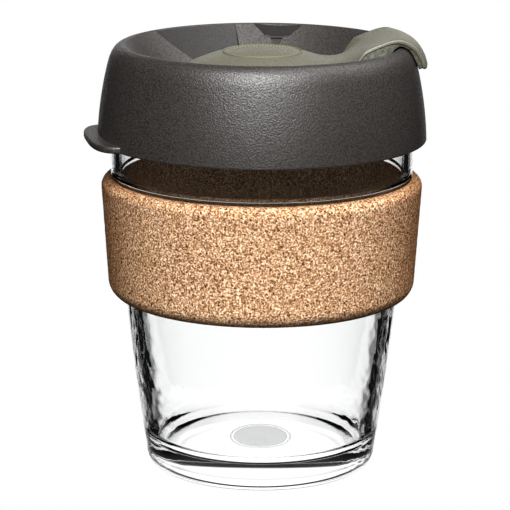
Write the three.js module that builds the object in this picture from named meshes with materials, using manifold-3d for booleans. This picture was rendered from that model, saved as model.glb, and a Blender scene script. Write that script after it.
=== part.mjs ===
// A glass travel cup: a tapered glass, a cork band round it, a press-on lid with a sip opening,
// and a plug that turns in the lid and hooks over its rim.
// Millimetres, +Z up. The glass stands on z = 0 and every round piece is centred on the z axis.
// The plug's arm points near +X, the sip opening near +Y and the lid's pull tab near -X.

import * as THREE from "three";
import { mergeVertices } from "three/addons/utils/BufferGeometryUtils.js";
import Module from "manifold-3d";

const wasm = await Module();
wasm.setup();

const SEGMENTS = 48; // flat strips round each turned piece
const CLEARANCE = 0.3; // gap between two pieces that touch or slide on the real cup
const OVERCUT = 4; // how far a cutting shape reaches past what it cuts

// Glass
const FOOT_RADIUS = 29.3; // flat part of the foot
const FOOT_EDGE = 4.4; // height of the rounding under the wall
const BASE_RADIUS = 31.15; // outside of the wall, carried down to the foot
const NECK_RADIUS = 41.5; // outside of the straight neck
const BULGE = 5.5; // how far the lower wall leans out past a straight cone
const SHOULDER_LOW = 82; // the shoulder above the cork band
const SHOULDER_TOP = 84.6;
const SHOULDER_STEP = 0.65;
const GLASS_TOP = 105.5;
const RIM_WALL = 2.4;
const FLOOR_TOP = 6.8;
const FLOOR_RADIUS = 21.5;
const FLOOR_FILLET = 4.5;
const INNER_NECK = NECK_RADIUS - RIM_WALL;
const INNER_MIDDLE = { radius: 33.6, height: 43.5 }; // inside of the wall below the band

// Cork band
const BAND_LOW = 48.05;
const BAND_TOP = 81.4;
const BAND_RADIUS_LOW = 42.3;
const BAND_RADIUS_TOP = 44;
const BAND_ROUND_LOW = 4.6;
const BAND_ROUND_TOP = 2.6;

// Lid
const LID_LOW = 91.8;
const LID_RADIUS = 45;
const LID_EDGE = 0.4; // small rounding of the skirt's lower edge
const CROWN_START = 112.4; // where the skirt turns over into the crown
const CROWN_RADIUS = 42.1;
const CROWN_HANDLES = { skirt: 2.9, crest: 2.4 }; // how far its curve keeps to either
const CREST_RADIUS = 37.8;
const CREST_TOP = 117.7;
const CREST_INNER_ROUND = 0.8;
const SKIRT_BULGE = 2.24;
const SKIRT_WALL = 1.7;
const BOWL_FLOOR = 108.9;
const FLOOR_WALL = 2;
const CREST_WALL = 3.2; // from the crest down to the hollow of the rim
const HOLLOW_CHAMFER = { inset: 0.8, drop: 1 }; // at the top of that hollow
const HUB_HOLE = 5.2;
const SEAL_LOW = 97.9; // bottom of the ring that plugs the glass
const SEAL_WALL = 1.5;
const SEAL_CHAMFER = { inset: 0.4, rise: 1 }; // leads the ring into the glass
const SEAL_RADIUS = INNER_NECK - CLEARANCE;
const SEAT = GLASS_TOP + CLEARANCE; // ledge over the glass rim

// Pull tab of the lid
const TAB_TURN = 191.5; // degrees from +X
const TAB_REACH = 48.4;
const TAB_ROOT = 40; // where its outline is widest, inside the skirt
const TAB_HALF_WIDTH = 17;
const TAB_SQUARENESS = 3; // 2 is an ellipse, and more is squarer
const TAB_THICK = 1.9;

// Sip opening and finger recess in the bowl wall
const SIP_TURN = 83.2;
const SIP_OUTER = { radius: 36.9, half: 7.3 };
const SIP_LIP = { radius: 34.4, half: 3.65 };
const SIP_TIP = { radius: 32.2, half: 0.75 };
const SIP_GROOVE_DEPTH = 0.5;
const RECESS_TURN = 102;
const RECESS_SIDE = 22.2; // y of the recess's other side
const RECESS_BOTTOM_RADIUS = 31;
const RECESS_INNER_RADIUS = RECESS_SIDE - 1;

// Plug
const DOME_TOP = 116.75;
const DOME_SPHERE = 46;
const DOME_RADIUS = 22.8;
const DOME_WALL = 2.2;
const DOME_EDGE = { inset: 0.8, drop: 0.4 }; // the worn upper edge of the dome
const DOME_CHAMFER = 0.4; // its lower edge
const DOME_LOW = BOWL_FLOOR + CLEARANCE;
const STEM_RADIUS = HUB_HOLE - CLEARANCE;
const STEM_LOW = 104.6;
const SNAP_RADIUS = 6.2;
const SNAP_CHAMFER = 0.6;
const ARM_TURN = 5.5;
const ARM_HALF_WIDTH = 12;
const ARM_CORNER = 2.5;
const ARM_REACH = 45;
const ARM_ROOT = 14; // where the arm starts, inside the dome
const ARM_PEAK = { radius: 36.6, height: 120.5 };
const ARM_GAP = 0.4; // between the arm and the crown it hooks over
const TIP_LOW = 112.4;
const TIP_CHAMFER = 0.6;
const PAD_HALF_WIDTH = 4.2;
const PAD_RADII = { low: 31.5, high: 36 };
const PAD_TOP = { low: 116.6, high: 118.6 }; // inside the arm, at those two radii

// ---- Profiles, as points (radius, height) ----

function point(radius, height) {
  return new THREE.Vector2(radius, height);
}

// Points along an elliptical arc, angles in degrees, both ends included.
function arc(centre, radii, from, to, steps) {
  const points = [];
  for (let i = 0; i <= steps; i++) {
    const angle = THREE.MathUtils.degToRad(from + ((to - from) * i) / steps);
    const radius = centre.x + radii.x * Math.cos(angle);
    points.push(point(radius, centre.y + radii.y * Math.sin(angle)));
  }
  return points;
}

// Points (radiusAt(z), z) at equal steps of height.
function wall(radiusAt, from, to, steps) {
  const points = [];
  for (let i = 0; i <= steps; i++) {
    const height = from + ((to - from) * i) / steps;
    points.push(point(radiusAt(height), height));
  }
  return points;
}

// Outside of the glass below the shoulder: a cone that bellies out towards the foot.
function glassOutside(height) {
  const share = height / SHOULDER_TOP;
  const cone = THREE.MathUtils.lerp(BASE_RADIUS, NECK_RADIUS - 0.2, share);
  return cone + BULGE * share * (1 - share) ** 2;
}

function glassInside(height) {
  const slope = (INNER_NECK - INNER_MIDDLE.radius) / (SHOULDER_TOP - INNER_MIDDLE.height);
  return INNER_MIDDLE.radius + slope * (height - INNER_MIDDLE.height);
}

function skirtOutside(height) {
  const share = (height - LID_LOW) / (CROWN_START - LID_LOW);
  const cone = THREE.MathUtils.lerp(LID_RADIUS, CROWN_RADIUS, share);
  return cone + SKIRT_BULGE * share * (1 - share);
}

// The bowl wall falls inwards from the crest at 45 degrees.
const BOWL_START = point(
  CREST_RADIUS - CREST_INNER_ROUND * Math.SQRT1_2,
  CREST_TOP - CREST_INNER_ROUND * (1 - Math.SQRT1_2),
);

function bowlHeight(radius) {
  return BOWL_START.y - (BOWL_START.x - radius);
}

function domeHeight(radius, sphere) {
  return DOME_TOP - DOME_SPHERE + Math.sqrt(sphere ** 2 - radius ** 2);
}

// The crown: from the skirt's lean over to the level crest, or a gap outside that.
function crownCurve(steps, gap = 0) {
  const lean = (skirtOutside(CROWN_START) - skirtOutside(CROWN_START - 0.01)) / 0.01;
  const rise = CROWN_HANDLES.skirt / Math.hypot(1, lean);
  const start = point(CROWN_RADIUS + gap, CROWN_START);
  const end = point(CREST_RADIUS, CREST_TOP + gap);
  const first = point(start.x + lean * rise, start.y + rise + gap / 2);
  const second = point(end.x + CROWN_HANDLES.crest + gap / 2, end.y);
  return new THREE.CubicBezierCurve(start, first, second, end).getPoints(steps);
}

// ---- Solids ----

function solidFrom(geometry) {
  const bare = geometry.clone();
  bare.deleteAttribute("normal");
  bare.deleteAttribute("uv");
  const merged = mergeVertices(bare, 1e-4);
  return new wasm.Manifold(
    new wasm.Mesh({
      numProp: 3,
      vertProperties: merged.attributes.position.array,
      triVerts: new Uint32Array(merged.index.array),
    }),
  );
}

function geometryFrom(solid) {
  const mesh = solid.getMesh();
  const geometry = new THREE.BufferGeometry();
  geometry.setAttribute("position", new THREE.BufferAttribute(mesh.vertProperties, 3));
  geometry.setIndex(new THREE.BufferAttribute(mesh.triVerts, 1));
  geometry.computeVertexNormals();
  return geometry;
}

// A profile turned about +Z. It runs counter-clockwise, with radius to the right and height up.
function turned(profile) {
  const geometry = new THREE.LatheGeometry(profile, SEGMENTS);
  geometry.rotateX(Math.PI / 2);
  return solidFrom(geometry);
}

// A closed profile that doesn't reach the axis.
function turnedRing(profile) {
  return turned([...profile, profile[0]]);
}

// A plan outline (x, y) raised from one height to another, then turned about +Z by degrees.
function prism(outline, low, high, degrees = 0) {
  const options = { depth: high - low, bevelEnabled: false, curveSegments: 6 };
  const geometry = new THREE.ExtrudeGeometry(outline, options);
  geometry.translate(0, 0, low);
  geometry.rotateZ(THREE.MathUtils.degToRad(degrees));
  return solidFrom(geometry);
}

function polygon(corners) {
  return new THREE.Shape(corners.map(([x, y]) => new THREE.Vector2(x, y)));
}

// A plan outline from the axis to x = far, 2 * half wide, with its two far corners rounded.
function tongue(far, half, corner) {
  const shape = new THREE.Shape();
  shape.moveTo(0, -half);
  shape.lineTo(far - corner, -half);
  shape.absarc(far - corner, -half + corner, corner, -Math.PI / 2, 0);
  shape.lineTo(far, half - corner);
  shape.absarc(far - corner, half - corner, corner, 0, Math.PI / 2);
  shape.lineTo(0, half);
  return shape;
}

// The far half of a rounded oval, for the pull tab.
function tabOutline() {
  const steps = 16;
  const corners = [];
  for (let i = 0; i <= steps; i++) {
    const angle = Math.PI * (i / steps - 0.5);
    const along = Math.max(Math.cos(angle), 0) ** (2 / TAB_SQUARENESS);
    const across = Math.sign(angle) * Math.abs(Math.sin(angle)) ** (2 / TAB_SQUARENESS);
    corners.push([TAB_ROOT + (TAB_REACH - TAB_ROOT) * along, TAB_HALF_WIDTH * across]);
  }
  return polygon(corners);
}

// Everything above the slanted face that runs from one (radius, height) to another, as a ring.
function ringAbove(inner, outer) {
  const top = CREST_TOP + 2 * OVERCUT;
  return turnedRing([inner, outer, point(outer.x, top), point(inner.x, top)]);
}

// ---- Sub-parts ----

function glassCup() {
  const rim = RIM_WALL / 2;
  const shoulderLow = glassOutside(SHOULDER_LOW);
  const filletCentre = point(FLOOR_RADIUS, FLOOR_TOP + FLOOR_FILLET);
  const filletEnd = glassInside(filletCentre.y);
  return turned([
    point(0, 0),
    ...arc(
      point(FOOT_RADIUS, FOOT_EDGE),
      point(glassOutside(FOOT_EDGE) - FOOT_RADIUS, FOOT_EDGE),
      -90,
      0,
      3,
    ),
    ...wall(glassOutside, FOOT_EDGE, SHOULDER_LOW, 9).slice(1),
    point(shoulderLow + SHOULDER_STEP / 2, SHOULDER_LOW + SHOULDER_STEP),
    point(NECK_RADIUS, SHOULDER_TOP),
    ...arc(point(NECK_RADIUS - rim, GLASS_TOP - rim), point(rim, rim), 0, 180, 6),
    point(INNER_NECK, SHOULDER_TOP),
    ...wall(glassInside, INNER_MIDDLE.height, filletCentre.y, 2),
    ...arc(filletCentre, point(filletEnd - FLOOR_RADIUS, FLOOR_FILLET), 0, -90, 5).slice(1),
    point(0, FLOOR_TOP),
  ]);
}

function corkBand() {
  const inside = (height) => glassOutside(height) + CLEARANCE;
  const topCentre = point(BAND_RADIUS_TOP - BAND_ROUND_TOP, BAND_TOP - BAND_ROUND_TOP);
  const lowCentre = point(BAND_RADIUS_LOW - BAND_ROUND_LOW, BAND_LOW + BAND_ROUND_LOW);
  return turnedRing([
    ...arc(lowCentre, point(BAND_ROUND_LOW, BAND_ROUND_LOW), -90, 0, 5),
    ...arc(topCentre, point(BAND_ROUND_TOP, BAND_ROUND_TOP), 0, 90, 4),
    ...wall(inside, BAND_TOP, BAND_LOW, 4),
  ]);
}

function lidShell() {
  const crest = point(CREST_RADIUS, CREST_TOP - CREST_INNER_ROUND);
  const crestRadii = point(CREST_INNER_ROUND, CREST_INNER_ROUND);
  const skirtInside = (height) => skirtOutside(height) - SKIRT_WALL;
  const floorLow = BOWL_FLOOR - FLOOR_WALL;
  const sealInner = SEAL_RADIUS - SEAL_WALL;
  const stepRadius = SEAL_RADIUS + SEAL_WALL;
  const cavityTop = CREST_TOP - CREST_WALL;
  const cavityInside = SEAL_RADIUS + CLEARANCE;
  const bowlFloorRadius = BOWL_START.x - (BOWL_START.y - BOWL_FLOOR);
  return turnedRing([
    point(HUB_HOLE, floorLow),
    point(RECESS_BOTTOM_RADIUS + HOLLOW_CHAMFER.inset, floorLow),
    point(CREST_RADIUS - HOLLOW_CHAMFER.inset, cavityTop - HOLLOW_CHAMFER.drop),
    point(CREST_RADIUS, cavityTop),
    point(cavityInside, cavityTop),
    point(cavityInside, SEAT + SEAL_WALL),
    point(sealInner, SEAT),
    point(sealInner, SEAL_LOW),
    point(SEAL_RADIUS - SEAL_CHAMFER.inset, SEAL_LOW),
    point(SEAL_RADIUS, SEAL_LOW + SEAL_CHAMFER.rise),
    point(SEAL_RADIUS, SEAT),
    point(stepRadius, SEAT),
    point(stepRadius, SEAT + SEAL_WALL),
    ...wall(skirtInside, SEAT + SEAL_WALL, LID_LOW, 3),
    point(LID_RADIUS - LID_EDGE, LID_LOW),
    ...wall(skirtOutside, LID_LOW + LID_EDGE, CROWN_START, 5),
    ...crownCurve(7).slice(1),
    ...arc(crest, crestRadii, 90, 135, 2).slice(1),
    point(bowlFloorRadius, BOWL_FLOOR),
    point(HUB_HOLE, BOWL_FLOOR),
  ]);
}

function pullTab() {
  const plate = prism(tabOutline(), LID_LOW, LID_LOW + TAB_THICK, TAB_TURN);
  const inside = skirtOutside(LID_LOW) - SKIRT_WALL / 2;
  const low = LID_LOW - OVERCUT;
  const high = LID_LOW + TAB_THICK + OVERCUT;
  const core = turned([point(0, low), point(inside, low), point(inside, high), point(0, high)]);
  return plate.subtract(core);
}

// The drinking slot: a well behind the lip, which opens down into the glass.
function sipWell() {
  const outline = polygon([
    [SIP_LIP.radius, -SIP_LIP.half],
    [SIP_OUTER.radius, -SIP_OUTER.half],
    [SIP_OUTER.radius, SIP_OUTER.half],
    [SIP_LIP.radius, SIP_LIP.half],
  ]);
  return prism(outline, SEAT + SEAL_WALL, CREST_TOP + OVERCUT, SIP_TURN);
}

// The shallow groove that leads drips from the lip into the bowl.
function sipGroove() {
  const outline = polygon([
    [SIP_TIP.radius, -SIP_TIP.half],
    [SIP_OUTER.radius, -SIP_LIP.half],
    [SIP_OUTER.radius, SIP_LIP.half],
    [SIP_TIP.radius, SIP_TIP.half],
  ]);
  const radii = [SIP_TIP.radius - OVERCUT, SIP_OUTER.radius + OVERCUT];
  const [inner, outer] = radii.map((r) => point(r, bowlHeight(r) - SIP_GROOVE_DEPTH));
  const wedge = prism(outline, BOWL_FLOOR, CREST_TOP + OVERCUT, SIP_TURN);
  return wedge.intersect(ringAbove(inner, outer));
}

// A steeper stretch of bowl wall between a radial face and a face across y.
function fingerRecess() {
  const turn = THREE.MathUtils.degToRad(RECESS_TURN);
  const far = CREST_RADIUS / Math.sin(turn);
  const near = RECESS_SIDE / Math.tan(turn);
  const outline = polygon([
    [near, RECESS_SIDE],
    [far * Math.cos(turn), CREST_RADIUS],
    [-CREST_RADIUS, CREST_RADIUS],
    [-CREST_RADIUS, RECESS_SIDE],
  ]);
  const inner = point(RECESS_BOTTOM_RADIUS, BOWL_FLOOR);
  const top = CREST_TOP + 2 * OVERCUT;
  const region = turnedRing([
    point(RECESS_INNER_RADIUS, BOWL_FLOOR),
    inner,
    BOWL_START,
    point(BOWL_START.x, top),
    point(RECESS_INNER_RADIUS, top),
  ]);
  return prism(outline, BOWL_FLOOR - OVERCUT, CREST_TOP + OVERCUT).intersect(region);
}

function lid() {
  return lidShell()
    .add(pullTab())
    .subtract(fingerRecess())
    .subtract(sipGroove())
    .subtract(sipWell());
}

// The dome with its stem, which snaps through the hub hole of the lid.
function plugDome() {
  const innerSphere = DOME_SPHERE - DOME_WALL;
  const outside = [];
  const inside = [];
  const steps = 6;
  const edgeRadius = DOME_RADIUS - DOME_EDGE.inset;
  const skirtInner = DOME_RADIUS - DOME_WALL;
  for (let i = 0; i <= steps; i++) {
    const outer = edgeRadius * (1 - i / steps);
    const inner = THREE.MathUtils.lerp(STEM_RADIUS, skirtInner, i / steps);
    outside.push(point(outer, domeHeight(outer, DOME_SPHERE)));
    inside.push(point(inner, domeHeight(inner, innerSphere)));
  }
  const floorLow = BOWL_FLOOR - FLOOR_WALL;
  return turned([
    point(0, STEM_LOW),
    point(SNAP_RADIUS - SNAP_CHAMFER, STEM_LOW),
    point(SNAP_RADIUS, STEM_LOW + SNAP_CHAMFER),
    point(SNAP_RADIUS, floorLow - CLEARANCE),
    point(STEM_RADIUS, floorLow - CLEARANCE),
    ...inside,
    point(skirtInner, DOME_LOW),
    point(DOME_RADIUS - DOME_CHAMFER, DOME_LOW),
    point(DOME_RADIUS, DOME_LOW + DOME_CHAMFER),
    point(DOME_RADIUS, domeHeight(DOME_RADIUS, DOME_SPHERE) - DOME_EDGE.drop),
    ...outside,
  ]);
}

// Upper outline of the arm, from inside the dome to its tip, along the radius.
function armTop() {
  const { radius, height } = ARM_PEAK;
  const curve = new THREE.CatmullRomCurve3(
    [
      [ARM_ROOT, domeHeight(ARM_ROOT, DOME_SPHERE) - CLEARANCE],
      [radius - 18, height - 7.1],
      [radius - 11.6, height - 5.3],
      [radius - 5.2, height - 1.8],
      [radius, height],
      [radius + 4.9, height - 2.3],
      [radius + 7.4, height - 5.6],
      [ARM_REACH, TIP_LOW + TIP_CHAMFER],
    ].map(([x, y]) => new THREE.Vector3(x, y, 0)),
  );
  return curve.getPoints(20).map((p) => point(p.x, p.y));
}

// Lower outline of the arm, from its tip over the crown of the lid, down along the bowl wall
// and back into the dome.
function armUnderside() {
  const bowlGap = ARM_GAP * Math.SQRT2;
  return [
    point(CROWN_RADIUS + ARM_GAP, TIP_LOW),
    ...crownCurve(6, ARM_GAP).slice(1),
    point(BOWL_START.x, BOWL_START.y + bowlGap),
    point(34, bowlHeight(34) + bowlGap),
    point(29, 113),
    point(25, 111),
    point(21, 110.6),
    point(ARM_ROOT, 112.6),
  ];
}

function plugArm() {
  const tip = point(ARM_REACH - TIP_CHAMFER, TIP_LOW);
  const profile = [...armUnderside().reverse(), tip, ...armTop().reverse()];
  const outline = tongue(ARM_REACH + CLEARANCE, ARM_HALF_WIDTH, ARM_CORNER);
  const band = prism(outline, BOWL_FLOOR, ARM_PEAK.height + OVERCUT, ARM_TURN);
  return turnedRing(profile).intersect(band);
}

// The pad under the arm that closes the sip opening. It runs parallel to the bowl wall.
function closingPad() {
  const gap = ARM_GAP * Math.SQRT2;
  const { low, high } = PAD_RADII;
  const profile = [
    point(low, bowlHeight(low) + gap),
    point(high, bowlHeight(high) + gap),
    point(high, PAD_TOP.high),
    point(low, PAD_TOP.low),
  ];
  const outline = tongue(ARM_REACH, PAD_HALF_WIDTH, ARM_CORNER);
  const band = prism(outline, BOWL_FLOOR, ARM_PEAK.height + OVERCUT, ARM_TURN);
  return turnedRing(profile).intersect(band);
}

function plug() {
  return plugDome().add(plugArm()).add(closingPad());
}

// ---- Assembly ----

const MATERIALS = {
  glass: new THREE.MeshStandardMaterial({
    color: 0xf2f6f5,
    roughness: 0.03,
    metalness: 0,
    transparent: true,
    opacity: 0.35,
  }),
  cork: new THREE.MeshStandardMaterial({ color: 0xb98552, roughness: 0.9, metalness: 0 }),
  lid: new THREE.MeshStandardMaterial({ color: 0x45423f, roughness: 0.55, metalness: 0 }),
  plug: new THREE.MeshStandardMaterial({ color: 0x6c6c59, roughness: 0.5, metalness: 0 }),
};

function named(name, solid, material) {
  const mesh = new THREE.Mesh(geometryFrom(solid), material);
  mesh.name = name;
  return mesh;
}

const group = new THREE.Group();
group.add(named("glass_cup", glassCup(), MATERIALS.glass));
group.add(named("cork_band", corkBand(), MATERIALS.cork));
group.add(named("lid", lid(), MATERIALS.lid));
group.add(named("plug", plug(), MATERIALS.plug));

export default group;
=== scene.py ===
"""Looks of a glass travel cup with a cork band, a press-on lid and a plug that turns in the lid.

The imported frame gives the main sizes. Shapes are worked out in millimetres, as profiles of
(radius, height) points and plan outlines of (x, y) points, and add_mesh() turns them into metres.
The studio (lights, backdrop and the dark flags beside it) keeps its place relative to the camera.
"""

import math

import bmesh
import bpy
import numpy as np
from mathutils import Matrix, Vector, noise


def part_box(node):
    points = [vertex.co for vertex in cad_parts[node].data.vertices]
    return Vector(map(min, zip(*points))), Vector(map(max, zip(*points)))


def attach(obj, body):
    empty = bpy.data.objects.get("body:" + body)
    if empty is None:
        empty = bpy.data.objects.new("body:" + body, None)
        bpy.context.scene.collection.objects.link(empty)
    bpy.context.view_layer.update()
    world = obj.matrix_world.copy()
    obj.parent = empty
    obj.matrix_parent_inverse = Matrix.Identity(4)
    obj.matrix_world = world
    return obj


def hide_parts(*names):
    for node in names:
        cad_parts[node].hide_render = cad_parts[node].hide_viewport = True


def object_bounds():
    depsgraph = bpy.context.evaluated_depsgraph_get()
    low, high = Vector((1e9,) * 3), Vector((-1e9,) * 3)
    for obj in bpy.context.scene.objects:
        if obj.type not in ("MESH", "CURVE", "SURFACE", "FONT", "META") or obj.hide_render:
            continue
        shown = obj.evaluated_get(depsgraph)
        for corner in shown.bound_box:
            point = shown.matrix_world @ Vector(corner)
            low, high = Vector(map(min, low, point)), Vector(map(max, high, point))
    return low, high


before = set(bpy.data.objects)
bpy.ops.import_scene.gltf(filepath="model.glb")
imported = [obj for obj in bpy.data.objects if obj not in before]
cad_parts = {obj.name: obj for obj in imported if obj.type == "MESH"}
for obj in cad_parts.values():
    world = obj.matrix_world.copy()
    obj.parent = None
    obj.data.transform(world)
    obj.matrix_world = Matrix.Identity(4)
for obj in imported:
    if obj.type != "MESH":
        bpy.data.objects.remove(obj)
CAD_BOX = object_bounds()
MM = 0.001


def box_mm(node):
    """Lowest and highest corner of a CAD node, in millimetres."""
    low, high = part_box(node)
    return low / MM, high / MM


_, GLASS_HIGH = box_mm("glass_cup")
BAND_LOW, BAND_HIGH = box_mm("cork_band")
LID_LOW, LID_HIGH = box_mm("lid")
PLUG_LOW, PLUG_HIGH = box_mm("plug")

COLUMNS = 240  # flat strips round a turned piece
GLASS_COLUMNS = 360
BAND_COLUMNS = 720
AXIS_RING = 0.5  # radius of the ring of points that closes in a middle point on the axis
OVERCUT = 1.0  # how far a cutting tool stands past what it cuts
PLASTIC_SHEEN = 0.8
LID_ROUGHNESS = 0.43
SMOOTH_ROUGHNESS = 0.66  # in the recess and the sip opening
SHARP = 24  # degrees between two faces whose shared edge stays crisp

# Glass
FOOT_RADIUS = 29.3
FOOT_EDGE = 4.4  # height of the rounding under the wall
BASE_RADIUS = 31.15
NECK_RADIUS = GLASS_HIGH.x
GLASS_TOP = GLASS_HIGH.z
BULGE = 5.5  # the lower wall stands out 4/27 of this past a straight cone, at its most
CONE_TUCK = 0.2  # how far inside the neck that cone ends
SHOULDER_LOW = BAND_HIGH.z + 0.6
SHOULDER_TOP = SHOULDER_LOW + 2.6
SHOULDER_STEP = 0.65
SHOULDER_EASE = ((0.25, 1.3), (0.05, 0.6))  # how far inside and under the neck's foot it bends
RIM_WALL = 2.4
FLOOR_TOP = 6.8
FLOOR_RADIUS = 21.5
FLOOR_FILLET = 4.5
INNER_NECK = NECK_RADIUS - RIM_WALL
INNER_MIDDLE = (33.6, 43.5)  # radius and height of a point inside the wall below the band

# Cork band
BAND_GAP = 0.3
BAND_RADIUS_TOP = BAND_HIGH.x
BAND_RADIUS_LOW = BAND_RADIUS_TOP - 1.7
BAND_ROUND_TOP = 2.6
BAND_ROUND_LOW = 4.6

# Lid
LID_RADIUS = LID_HIGH.y
SKIRT_LOW = LID_LOW.z
SKIRT_EDGE = 0.4
CREST_TOP = LID_HIGH.z
TOOL_TOP = CREST_TOP + 2 * OVERCUT  # top of the prisms that cut the lid
RING_TOP = TOOL_TOP + 3 * OVERCUT  # and of the rings that trim them
CREST_RADIUS = LID_RADIUS - 7.2
CREST_INNER_ROUND = 0.8
CROWN_START = CREST_TOP - 5.3
CROWN_RADIUS = LID_RADIUS - 2.9
CROWN_HANDLES = (2.9, 2.4)  # how far the crown's curve keeps to the skirt's lean and to the level
SKIRT_BULGE = 2.24  # the skirt bows out a quarter of this at the middle of its height
SKIRT_WALL = 1.7
BOWL_FLOOR = CREST_TOP - 8.8
BOWL_FILLET = 1.6
FLOOR_WALL = 2.0
CLEARANCE = 0.3  # between the lid and the glass, and between the plug and the lid
HUB_HOLE = 5.2
HUB_CHAMFER = 0.3
SEAL_RADIUS = INNER_NECK - CLEARANCE
SEAL_WALL = 1.5
SEAL_CHAMFER = (0.4, 1.0)
SEAT = GLASS_TOP + CLEARANCE
SEAL_LOW = SEAT - 7.9
HOLLOW_TOP = CREST_TOP - 3.2  # ceiling of the hollow inside the crest
HOLLOW_RADIUS = SEAL_RADIUS + 0.2
HOLLOW_CHAMFER = (0.8, 1.0)
TAB_TURN = math.radians(191.5)
TAB_REACH = LID_RADIUS + 3.4
TAB_ROOT = LID_RADIUS - 5.0  # where the tab's outline is widest, inside the skirt
TAB_HALF_WIDTH = 17.0
TAB_SQUARENESS = 3.0  # 2 is an ellipse, and more is squarer
TAB_THICK = 1.9
TAB_EDGE = 0.6

# Sip opening and finger recess
SIP_TURN = math.radians(83.2)
SIP_OUTER = (36.9, 7.3)  # radius and half width of the well's outer face
SIP_LIP = (34.4, 3.65)
SIP_TIP = (32.2, 0.75)
SIP_GROOVE_DEPTH = 0.5
SIP_BEAD = 0.35  # round ridge along the lip of the slot
RECESS_TURN = math.radians(102)
RECESS_SIDE = 22.2
RECESS_BOTTOM_RADIUS = 31.0
RECESS_WALL = 0.5  # between its foot and the hollow behind it, measured level
RECESS_LIFT = 0.02  # keeps its floor off the bowl's own
RECESS_OVERSHOOT = 0.5  # how far its wall carries on past the bowl's

# Plug
DOME_TOP = CREST_TOP - 0.95
DOME_SPHERE = 46.0
DOME_RADIUS = 22.8
DOME_WALL = 2.2
DOME_LOW = BOWL_FLOOR + CLEARANCE
DOME_CHAMFER = 0.3
STEM_RADIUS = HUB_HOLE - CLEARANCE
STEM_LOW = PLUG_LOW.z
SNAP_RADIUS = 6.2
SNAP_CHAMFER = 0.6
ARM_TURN = math.radians(5.5)
ARM_HALF_WIDTH = 12.0
ARM_TOP = PLUG_HIGH.z
ARM_REACH = LID_RADIUS


# ---- Profiles and meshes ----


def arc(centre, radii, start, end, steps):
    """Points along an elliptical arc, angles in degrees, both ends included."""
    angles = np.radians(np.linspace(start, end, steps + 1))
    return [(centre[0] + radii[0] * math.cos(a), centre[1] + radii[1] * math.sin(a)) for a in angles]


def bezier(start, first, second, end, steps):
    """Points along a cubic curve that leaves start towards first and reaches end from second."""
    corners = np.array([start, first, second, end], float)
    made = []
    for t in np.linspace(0, 1, steps + 1):
        weights = [(1 - t) ** 3, 3 * t * (1 - t) ** 2, 3 * t**2 * (1 - t), t**3]
        made.append(tuple(np.dot(weights, corners)))
    return made


def wall(radius_at, start, end, steps):
    """Points (radius_at(height), height) at equal steps of height."""
    return [(radius_at(height), height) for height in np.linspace(start, end, steps + 1)]


def smoothstep(value, low, high):
    share = np.clip((value - low) / (high - low), 0, 1)
    return share * share * (3 - 2 * share)


def closed_rows(rows, ring=False):
    """Vertices and faces of an array (rows, columns, 3) whose rows close on themselves. The ends
    of a ring are joined, and those of any other stack are each closed in one middle point."""
    count, columns = rows.shape[:2]
    vertices = rows.reshape(-1, 3)
    faces = []
    following = np.roll(np.arange(columns), -1)
    for i in range(count if ring else count - 1):
        low = i * columns + np.arange(columns)
        high = ((i + 1) % count) * columns + np.arange(columns)
        faces.extend(np.stack([low, low[following], high[following], high], axis=1).tolist())
    if ring:
        return vertices, faces
    first, last = len(vertices), len(vertices) + 1
    top = (count - 1) * columns
    for j in range(columns):
        faces.append([first, int(following[j]), j])
        faces.append([last, top + j, top + int(following[j])])
    return np.vstack([vertices, rows[0].mean(axis=0), rows[-1].mean(axis=0)]), faces


def turned_rows(profile, columns=COLUMNS):
    """The rows of a (radius, height) profile turned about +Z."""
    angles = np.linspace(0, 2 * math.pi, columns, endpoint=False)
    profile = np.asarray(profile, float)
    rows = np.empty((len(profile), columns, 3))
    rows[:, :, 0] = profile[:, :1] * np.cos(angles)
    rows[:, :, 1] = profile[:, :1] * np.sin(angles)
    rows[:, :, 2] = profile[:, 1:]
    return rows


def add_mesh(name, vertices, faces):
    """A smooth-shaded object from vertices in millimetres, with its sharp edges left crisp."""
    mesh = bpy.data.meshes.new(name)
    mesh.from_pydata((np.asarray(vertices) * MM).tolist(), [], faces)
    mesh.polygons.foreach_set("use_smooth", [True] * len(mesh.polygons))
    mesh.set_sharp_from_angle(angle=math.radians(SHARP))
    made = bpy.data.objects.new(name, mesh)
    bpy.context.scene.collection.objects.link(made)
    return made


def add_turned(name, profile, ring=False):
    return add_mesh(name, *closed_rows(turned_rows(profile), ring=ring))


def joined(parts):
    """The vertices and faces of several meshes as those of one."""
    vertices, faces = [], []
    total = 0
    for points, polygons in parts:
        vertices.append(points)
        faces += [[index + total for index in polygon] for polygon in polygons]
        total += len(points)
    return np.vstack(vertices), faces


def prism(outline, low, high, turn=0.0, edge=0.0):
    """A plan outline raised from low to high and turned about +Z, with its two rims rounded."""
    rotation = Matrix.Rotation(turn, 3, "Z")
    count = len(outline)
    corners = [rotation @ Vector((x, y, z)) for z in (low, high) for x, y in outline]
    faces = [list(range(count))[::-1], list(range(count, 2 * count))]
    for i in range(count):
        j = (i + 1) % count
        faces.append([i, j, count + j, count + i])
    made = add_mesh("prism", [tuple(c) for c in corners], faces)
    if edge:
        body = bmesh.new()
        body.from_mesh(made.data)
        rims = [e for e in body.edges if abs(e.verts[0].co.z - e.verts[1].co.z) < 1e-7]
        bmesh.ops.bevel(body, geom=rims, offset=edge * MM, segments=4, profile=0.5, affect="EDGES")
        body.to_mesh(made.data)
        body.free()
    return made


def combine(piece, tool, operation):
    """Joins the tool to the piece, cuts it away or keeps what they share, and deletes the tool."""
    options = {"operation": operation, "solver": "EXACT", "material_mode": "TRANSFER"}
    mesh = apply_modifier(piece, "BOOLEAN", object=tool, **options)
    bpy.data.objects.remove(tool)
    mesh.set_sharp_from_angle(angle=math.radians(SHARP))
    return piece


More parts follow.
